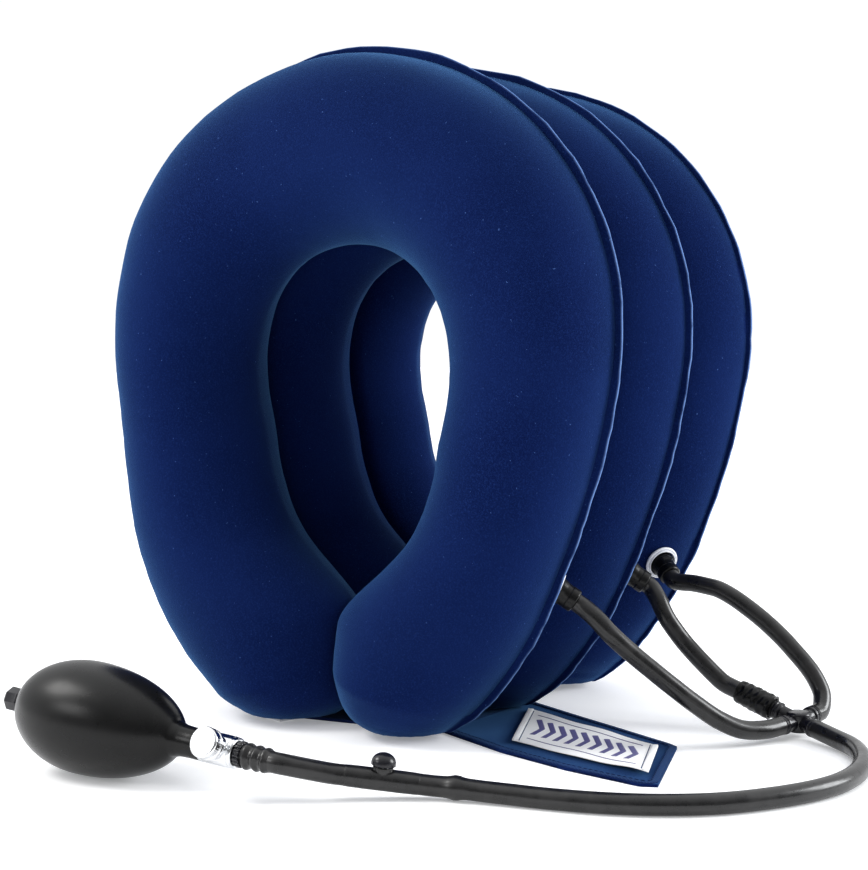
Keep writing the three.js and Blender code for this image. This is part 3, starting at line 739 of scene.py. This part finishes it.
def spline_at(points, t):
    """A uniform Catmull-Rom spline through the points, at t from 0 to 1."""
    last = len(points) - 1
    place = last * np.asarray(t, float)
    i = np.clip(np.floor(place).astype(int), 0, last - 1)
    w = (place - i)[..., None]
    p0, p1 = points[np.maximum(i - 1, 0)], points[i]
    p2, p3 = points[i + 1], points[np.minimum(i + 2, last)]
    return hermite(p1, p2, (p2 - p0) / 2, (p3 - p1) / 2, w)


OUTER = seam_curve(OUTER_SEAM, LEFT_SPREAD)
INNER = seam_curve(INNER_SEAM, [0] * len(INNER_SEAM))


def chord_at(u):
    """Outer point, unit vector across to the inner seam, and the chord, at u from -1 to 1."""
    t = (np.asarray(u, float) + 1) / 2
    outer, inner = spline_at(OUTER, t), spline_at(INNER, t)
    across = inner - outer
    chord = np.linalg.norm(across, axis=-1)
    return outer, across / np.maximum(chord, 1e-6)[..., None], chord


def smoothstep(value, low, high):
    t = np.clip((value - low) / (high - low), 0, 1)
    return t * t * (3 - 2 * t)


def pressed(z, floor):
    """Legs press flat on what they stand on."""
    level = floor + PRESS_HEIGHT
    return np.where(z > level, z, level + (z - level) * SQUEEZED)


def parted(x, u):
    """The two legs press flat on each other in the middle."""
    side = np.sign(u)
    out = x * side
    close = (np.abs(u) >= LEG_FROM) & (out <= LEG_GAP)
    return np.where(close, side * (LEG_GAP + (out - LEG_GAP) * SQUEEZED), x)


def ripple(u, seed, *waves):
    """A smooth uneven line along the horseshoe: each wave is (waves along it, height)."""
    total = np.zeros_like(u)
    for count, height in waves:
        rows = [noise.noise(Vector((x * count, seed * 7.3, count))) for x in u.ravel()]
        total += height * np.array(rows).reshape(u.shape)
    return total


# depths, limits: front and rear. A limit is where a panel meets its neighbour.
TIERS = [
    {"body": "base", "seam": -TIER_PITCH, "floor": ON_STRAP,
     "depths": (38, 36), "limits": (None, TOUCHING), "pinch": FOREMOST_PINCH, "lip": 3.6},
    {"body": "tier_2", "seam": 0.0, "floor": ON_STRAP,
     "depths": (36, 36), "limits": (TOUCHING, TOUCHING), "pinch": FRONT_PINCH, "lip": 3.2},
    {"body": "tier_3", "seam": TIER_PITCH, "floor": PAST_STRAP,
     "depths": (36, 33), "limits": (TOUCHING, None), "pinch": FRONT_PINCH, "lip": 2.2},
]
STATIONS = 230
ACROSS = 30  # points across one panel


def stations():
    """Stations along the horseshoe, closer together towards the rounded leg ends."""
    s = np.linspace(-1, 1, STATIONS)
    return 0.42 * s + 0.58 * np.sin(s * math.pi / 2)


def panel_rows(tier, facing, u, seed):
    """Points of one panel, stations by steps across, from the outer seam to the inner one."""
    outer, across, chord = chord_at(u)
    share = np.linspace(0, 1, ACROSS)
    spread = (1 - np.cos(math.pi * share)) / 2
    outer_pinch, inner_pinch = (tier["pinch"], HOLE_PINCH) if facing < 0 else (REAR_PINCH, REAR_HOLE_PINCH)
    inner_pinch = inner_pinch + (LEG_PINCH - inner_pinch) * smoothstep(np.abs(u), 0.68, 0.80)
    pinch = np.where(spread[None, :] < 0.5, outer_pinch, inner_pinch[:, None])
    rise = (1 - (2 * spread[None, :] - 1) ** 2) ** (1 / pinch)
    side = 0 if facing < 0 else 1
    depth = tier["depths"][side] * np.minimum(1, chord / FULL_CHORD)
    bulge = LIP_HALF + depth[:, None] * rise
    from_seam = chord[:, None] * spread[None, :]
    near_outer = np.exp(-from_seam / 9) * (1 - np.exp(-from_seam / 1.4))
    to_inner = chord[:, None] - from_seam
    near_inner = np.exp(-to_inner / 8) * (1 - np.exp(-to_inner / 1.4))
    deeper_at_ends = 1 + 1.6 * smoothstep(np.abs(u), 0.80, 0.97)
    gathers = ripple(u, seed, (26, 0.8), (61, 0.9)) * deeper_at_ends
    hole_gathers = ripple(u, seed + 1, (40, 0.7), (85, 0.5))
    bulge = bulge + near_outer * gathers[:, None] + near_inner * hole_gathers[:, None]
    swell = ripple(u, seed + 2, (7, 1.1))
    bulge = bulge + swell[:, None] * rise**2
    limit = tier["limits"][side]
    if limit:
        over = np.maximum(bulge - (limit - CONTACT_EASE), 0)
        bulge = bulge - over + CONTACT_EASE * (1 - np.exp(-over / CONTACT_EASE))
    at = outer[:, None, :] + across[:, None, :] * from_seam[..., None]
    x = parted(at[..., 0], u[:, None])
    return np.stack([x, tier["seam"] + facing * bulge, pressed(at[..., 1], tier["floor"])], axis=-1)


# Section of the weld flange, front to rear: share of its width, share of its half thickness, painted
# highlight
LIP_SECTION = [(0.45, -0.92, 0), (0.80, -0.95, 0), (0.94, -0.75, 0.3), (1, -0.3, 1),
               (1, 0.3, 1), (0.94, 0.75, 0.3), (0.80, 0.95, 0), (0.45, 0.92, 0)]


def lip_rows(tier, u, seed):
    """Points of the weld flange, stations by steps round its edge."""
    outer, across, _ = chord_at(u)
    fade = 1 - smoothstep(np.abs(u), 0.78, 1)
    width = np.maximum((tier["lip"] + ripple(u, seed, (33, 0.7), (90, 0.35))) * fade, 0.05)
    wave = ripple(u, seed + 3, (15, 1.5), (48, 0.8)) * fade
    rows = []
    for out, half, _ in LIP_SECTION:
        at = outer - across * (width * out)[:, None]
        y = tier["seam"] + half * LIP_HALF * np.maximum(fade, 0.25) + wave * out
        rows.append(np.stack([at[:, 0], y, pressed(at[:, 1], tier["floor"])], axis=-1))
    return np.stack(rows, axis=1)


def leg_tip(tier, u):
    """Where a tier closes at a leg end."""
    outer, _, _ = chord_at(np.array([u]))
    x, z = outer[0]
    return np.array([x, tier["seam"], pressed(np.array(z), tier["floor"])])


def tier_cushion(number, tier):
    """One inflated tier: front panel, rear panel and the weld flange, as one closed skin."""
    u = stations()[1:-1]
    front = panel_rows(tier, -1, u, 10 * number)
    rear = panel_rows(tier, 1, u, 10 * number + 4)
    lip = lip_rows(tier, u, 10 * number + 8)
    # Round the section: lip front to rear, rear panel inwards, front panel outwards.
    loop = np.concatenate([lip, rear[:, :-1], front[:, ::-1]], axis=1)
    inner = lip.shape[1] + ACROSS - 1
    loop[:, inner] = (rear[:, -1] + front[:, -1]) / 2
    # The points round the flange's edge carry a painted highlight, which the flock material mixes into its
    # colour.
    edge = np.zeros(loop.shape[1])
    edge[:len(LIP_SECTION)] = [highlight_share for _, _, highlight_share in LIP_SECTION]
    rows, columns = loop.shape[:2]
    verts = list(loop.reshape(-1, 3))
    faces = grid_faces(rows, columns, wrap_columns=True)
    for tip_u, row in ((-1, 0), (1, rows - 1)):
        tip = len(verts)
        verts.append(leg_tip(tier, tip_u))
        start = row * columns
        faces.extend((start + j, start + (j + 1) % columns, tip) for j in range(columns))
    cushion = piece(f"tier_{number}_cushion", verts, faces, "navy_flock", tier["body"],
                    [f"tier_{number}_front_panel", f"tier_{number}_rear_panel"], sharp=math.radians(70))
    # The painted highlight of the flange's edge, point by point, stored on the mesh.
    weld = np.concatenate([np.tile(edge, rows), [0, 0]])
    attribute = cushion.data.attributes.new("painted_weld_highlight", "FLOAT", "POINT")
    attribute.data.foreach_set("value", weld.astype(np.float32))
    return cushion


def flatten(made, seam):
    """Gives a piece a mesh of its own. seam is not used."""
    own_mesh(made)


for number, tier in enumerate(TIERS, 1):
    cushion = tier_cushion(number, tier)
    flatten(cushion, tier["seam"])


# ------------ bonds between the tiers
for pair, tier in zip(("1_2", "2_3"), TIERS):
    bond = cad_copy(f"bond_strip_{pair}", f"tier_bond_{pair}", tier["body"])
    flatten(bond, tier["seam"])


# ------------ closure strap
STRAP_ROOT = [(-42, -74), (44, -60), (44, 14), (-42, 26)]
STRAP_TAB = [(44.3, -60), (84, -77), (120, -87.5), (156, -93.5), (162.5, -90.5), (141.5, -30),
             (135, -26.5), (92, -7.5), (44.3, 14)]
LABEL = [(80.5, -63), (154.5, -82.5), (137, -38.5), (54, -4.5)]
BINDING = 3.6


def between(lower, upper, rows, columns):
    """A grid of points between two edges, each a list of corners followed at an even rate."""
    low, high = (points_along(edge, np.linspace(0, arc_lengths(edge)[-1], columns))
                 for edge in (lower, upper))
    share = np.linspace(0, 1, rows)[:, None, None]
    return low[None] * (1 - share) + high[None] * share


def slab(grid, base, height):
    """A thin closed sheet over a grid: base(x, y) is its underside, height(x, y) its top."""
    rows, columns = grid.shape[:2]
    flat = grid.reshape(-1, 2)
    under = [(x, y, base(x, y)) for x, y in flat]
    over = [(x, y, height(x, y)) for x, y in flat]
    count = len(flat)
    faces = grid_faces(rows, columns) + grid_faces(rows, columns, offset=count)
    rim = [*range(columns)] + [i * columns + columns - 1 for i in range(1, rows)]
    rim += [(rows - 1) * columns + j for j in range(columns - 2, -1, -1)]
    rim += [i * columns for i in range(rows - 2, 0, -1)]
    faces += [(a, b, b + count, a + count) for a, b in zip(rim, rim[1:] + rim[:1])]
    return under + over, faces


def on_floor(x, y):
    """The underside of a cloth that lies flat."""
    return 0.0


def cloth_height(top, swing):
    """Height of a flat fabric's top, with a slow unevenness of swing millimetres."""
    def height(x, y):
        return top + swing * noise.noise(Vector((x * 0.035, y * 0.035, 3.1)))
    return height


def ribbon(line, half_width, base, height, crown=0.45):
    """A crowned strip along a line of (x, y) points, such as a binding."""
    line = np.array(line, float)
    tangent = np.gradient(line, axis=0)
    tangent /= np.linalg.norm(tangent, axis=1)[:, None]
    normal = np.stack([-tangent[:, 1], tangent[:, 0]], axis=1)
    section = [(-1, 0), (-1, 0.55), (-0.8, 0.9), (-0.35, 1), (0.35, 1), (0.8, 0.9), (1, 0.55), (1, 0)]
    verts = []
    for at, across in zip(line, normal):
        for side, lift in section:
            x, y = at + across * half_width * side
            low, high = base(x, y), height(x, y) + crown
            verts.append((x, y, low + (high - low) * lift))
    count = len(section)
    faces = grid_faces(len(line), count, wrap_columns=True)
    faces += [tuple(range(count)), tuple(range(len(verts) - count, len(verts)))]
    return verts, faces


def evenly(corners, step, round_off=3.0):
    """A line through corners, rounded off a little, as evenly spaced points."""
    corners = np.array(corners, float)
    out = [corners[0]]
    for before, at, after in zip(corners, corners[1:], corners[2:]):
        a, b = (at + (end - at) * min(round_off / np.linalg.norm(end - at), 0.45) for end in (before, after))
        out += [(1 - t) ** 2 * a + 2 * t * (1 - t) * at + t * t * b for t in np.linspace(0, 1, 6)]
    return evenly_spaced(np.array([*out, corners[-1]]), step, 3)


def inset_outline(outline, distance):
    """An outline's corners, moved inwards."""
    ring = np.array(outline, float)
    x, y = ring.T
    turn = np.sign(np.dot(x, np.roll(y, -1)) - np.dot(y, np.roll(x, -1)))
    moved = []
    for before, at, after in zip(np.roll(ring, 1, axis=0), ring, np.roll(ring, -1, axis=0)):
        one, two = (at - before) / np.linalg.norm(at - before), (after - at) / np.linalg.norm(after - at)
        normals = [turn * np.array((-d[1], d[0])) for d in (one, two)]
        middle = normals[0] + normals[1]
        moved.append(at + middle * distance / max(0.35, middle.dot(normals[0])))
    return moved


def stitches(name, line, height, length=1.7, space=1.1, thick=0.22):
    """Short navy threads on the strap's tab, lying along a line, each arched a little."""
    line_length = arc_lengths(line)[-1]
    arch = np.sin(np.linspace(0, math.pi, 5)) * 0.12
    threads = []
    at = space
    while at + length < line_length:
        run = points_along(line, np.linspace(at, at + length, 5))
        thread = np.array([(x, y, height(x, y) + lift) for (x, y), lift in zip(run, arch)])
        threads.append(tube_shape(thread, thick, sides=6))
        at += length + space
    return piece(name, *joined(*threads), "navy_webbing", "strap_tab")


strap_top = cloth_height(STRAP_THICKNESS - 0.35, 0.2)
root_piece = piece("strap_root_cloth", *slab(
    between([STRAP_ROOT[0], STRAP_ROOT[1]], [STRAP_ROOT[3], STRAP_ROOT[2]], 40, 44),
    on_floor, cloth_height(STRAP_THICKNESS - 0.25, 0.1),
), "navy_webbing", "base", ["strap_root"])

tab_grid = between(STRAP_TAB[:5], [STRAP_TAB[8], STRAP_TAB[7], STRAP_TAB[6], STRAP_TAB[5]], 50, 80)
tab_piece = piece("strap_tab_cloth", *slab(tab_grid, on_floor, strap_top), "navy_flock", "strap_tab",
                  ["strap_tab"])
rim_line = evenly(inset_outline(STRAP_TAB, BINDING / 2), 1.5)
binding = piece("strap_binding", *ribbon(rim_line, BINDING / 2, on_floor, strap_top), "navy_webbing",
                "strap_tab")
rim_stitches = stitches("binding_stitches", evenly(inset_outline(STRAP_TAB, BINDING - 0.7), 1.2),
                        lambda x, y: strap_top(x, y) + 0.42)


def label_lift(x, y):
    """The label's underside: it lies on the strap and lifts in slow waves towards its free edge."""
    ahead = np.clip((x - 105) / 50, 0, 1)
    low_edge = np.clip((-45 - y) / 35, 0, 1)
    wave = 0.5 + 0.5 * math.sin(x * 0.21 + y * 0.05)
    return 1.95 + 0.25 * wave + 1.3 * float(ahead * low_edge) * (0.45 + 0.55 * wave)


def label_edge(start, end, bow, phase):
    """One long edge of the label, slightly wavy."""
    start, end = np.array(start, float), np.array(end, float)
    along = end - start
    across = np.array((-along[1], along[0])) / np.linalg.norm(along)
    return [start + along * t + across * bow * math.sin(math.pi * t * 3 + phase) * math.sin(math.pi * t)
            for t in np.linspace(0, 1, 30)]


label_grid = between(label_edge(LABEL[0], LABEL[1], 0.7, 0.4), label_edge(LABEL[3], LABEL[2], 0.6, 2.0),
                     36, 72)
label_piece = piece("blank_label", *slab(label_grid, label_lift, lambda x, y: label_lift(x, y) + 0.35),
                    "white_label", "strap_tab", ["strap_label"])


def label_point(along, across):
    """The point at a share of the label's length and of its width."""
    corners = np.array(LABEL, float)
    low = corners[0] * (1 - along) + corners[1] * along
    high = corners[3] * (1 - along) + corners[2] * along
    return low * (1 - across) + high * across


def across_label(along):
    return np.array([label_point(along, across) for across in np.linspace(0.015, 0.985, 24)])


def on_label(x, y):
    return label_lift(x, y) + 0.30


for end, fold_at, seam_at in (("left", 0.022, 0.052), ("right", 0.978, 0.948)):
    fold = ribbon(across_label(fold_at), 1.35, on_label, on_label, crown=0.42)
    piece(f"label_fold_{end}", *fold, "white_label", "strap_tab")
    stitches(f"label_stitches_{end}", across_label(seam_at),
                                 lambda x, y: on_label(x, y) + 0.08, length=2.4, space=0.6, thick=0.2)


def motif():
    """A generic row of chevrons between two rules along the label, in violet thread."""
    parts = []
    for middle in np.linspace(0.15, 0.85, 9):
        corners = [label_point(middle + lead, across) for lead, across in
                   ((-0.026, 0.27), (0.026, 0.50), (-0.026, 0.73))]
        parts.append(ribbon(evenly(corners, 0.8, round_off=0.6), 1.25, on_label, on_label, crown=0.17))
    for across in (0.14, 0.86):
        rule = evenly([label_point(0.10, across), label_point(0.90, across)], 1.5)
        parts.append(ribbon(rule, 0.4, on_label, on_label, crown=0.15))
    return joined(*parts)


piece("label_chevrons", *motif(), "navy_webbing", "strap_tab", finish="violet_thread")


# ------------ floor and studio light
LIT_POINT = Vector((0, 0, 0.12))
SEEN_WHITE = 1.05  # strength of the world where the camera sees it


def studio_world():
    """Soft light from above and behind, dimmer from the front. What the camera sees of it is plain white."""
    world = bpy.data.worlds.new("studio")
    bpy.context.scene.world = world
    world.use_nodes = True
    tree = world.node_tree
    background = tree.nodes["Background"]

    def node(kind, values, **settings):
        """A node whose inputs, by number, take a value or another node's output."""
        made = tree.nodes.new(kind)
        for key, value in settings.items():
            setattr(made, key, value)
        for number, value in values.items():
            if isinstance(value, bpy.types.NodeSocket):
                tree.links.new(value, made.inputs[number])
            else:
                made.inputs[number].default_value = value
        return made

    place = node("ShaderNodeTexCoord", {}).outputs["Generated"]

    def facing(direction, low, high, dim, bright):
        dot = node("ShaderNodeVectorMath", {0: place, 1: direction}, operation="DOT_PRODUCT")
        values = {0: dot.outputs["Value"], 1: low, 2: high, 3: dim, 4: bright}
        return node("ShaderNodeMapRange", values, interpolation_type="SMOOTHSTEP").outputs["Result"]

    from_front = facing((0.62, -0.78, 0.0), -0.15, 0.75, 1.0, 0.22)
    from_above = facing((0.0, 0.0, 1.0), 0.25, 0.95, 0.0, 0.75)
    total = node("ShaderNodeMath", {0: from_front, 1: from_above}, operation="ADD").outputs["Value"]
    seen = node("ShaderNodeLightPath", {}).outputs["Is Camera Ray"]
    strength = node("ShaderNodeMix", {0: seen, 2: total, 3: SEEN_WHITE}, data_type="FLOAT").outputs[0]
    tree.links.new(strength, background.inputs["Strength"])
    background.inputs["Color"].default_value = (0.98, 0.99, 1.0, 1)


def studio():
    """A plain pale floor under soft light."""
    bpy.ops.mesh.primitive_plane_add(size=14, location=(0, 3, 0))
    floor = bpy.context.object
    floor.name = "floor"
    s = Shader("floor", 0.6, specular=0.1)
    s.colour(s.mix(s.noise(3, 2), (0.93, 0.93, 0.935), (0.95, 0.95, 0.955)))
    s.principled.inputs["Emission Color"].default_value = (0.97, 0.985, 1.0, 1)
    s.principled.inputs["Emission Strength"].default_value = 0.26
    floor.data.materials.append(s.material)
    studio_world()
    # name, place, size, watts, colour
    lights = [
        ("key", (-0.85, -0.72, 1.05), 0.5, 11, (1.0, 0.99, 0.97)),
        ("soft", (-0.40, -0.95, 0.45), 0.25, 1.5, (1.0, 1.0, 1.0)),
        ("side", (1.15, 0.70, 0.55), 0.6, 17, (0.96, 0.98, 1.0)),
    ]
    for name, place, size, power, tint in lights:
        data = bpy.data.lights.new(name, "AREA")
        data.size, data.energy, data.color = size, power, tint
        light = placed(name, data)
        light.location = place
        aim(light, LIT_POINT - Vector(place))


studio()
bpy.context.scene.view_settings.view_transform = "Standard"
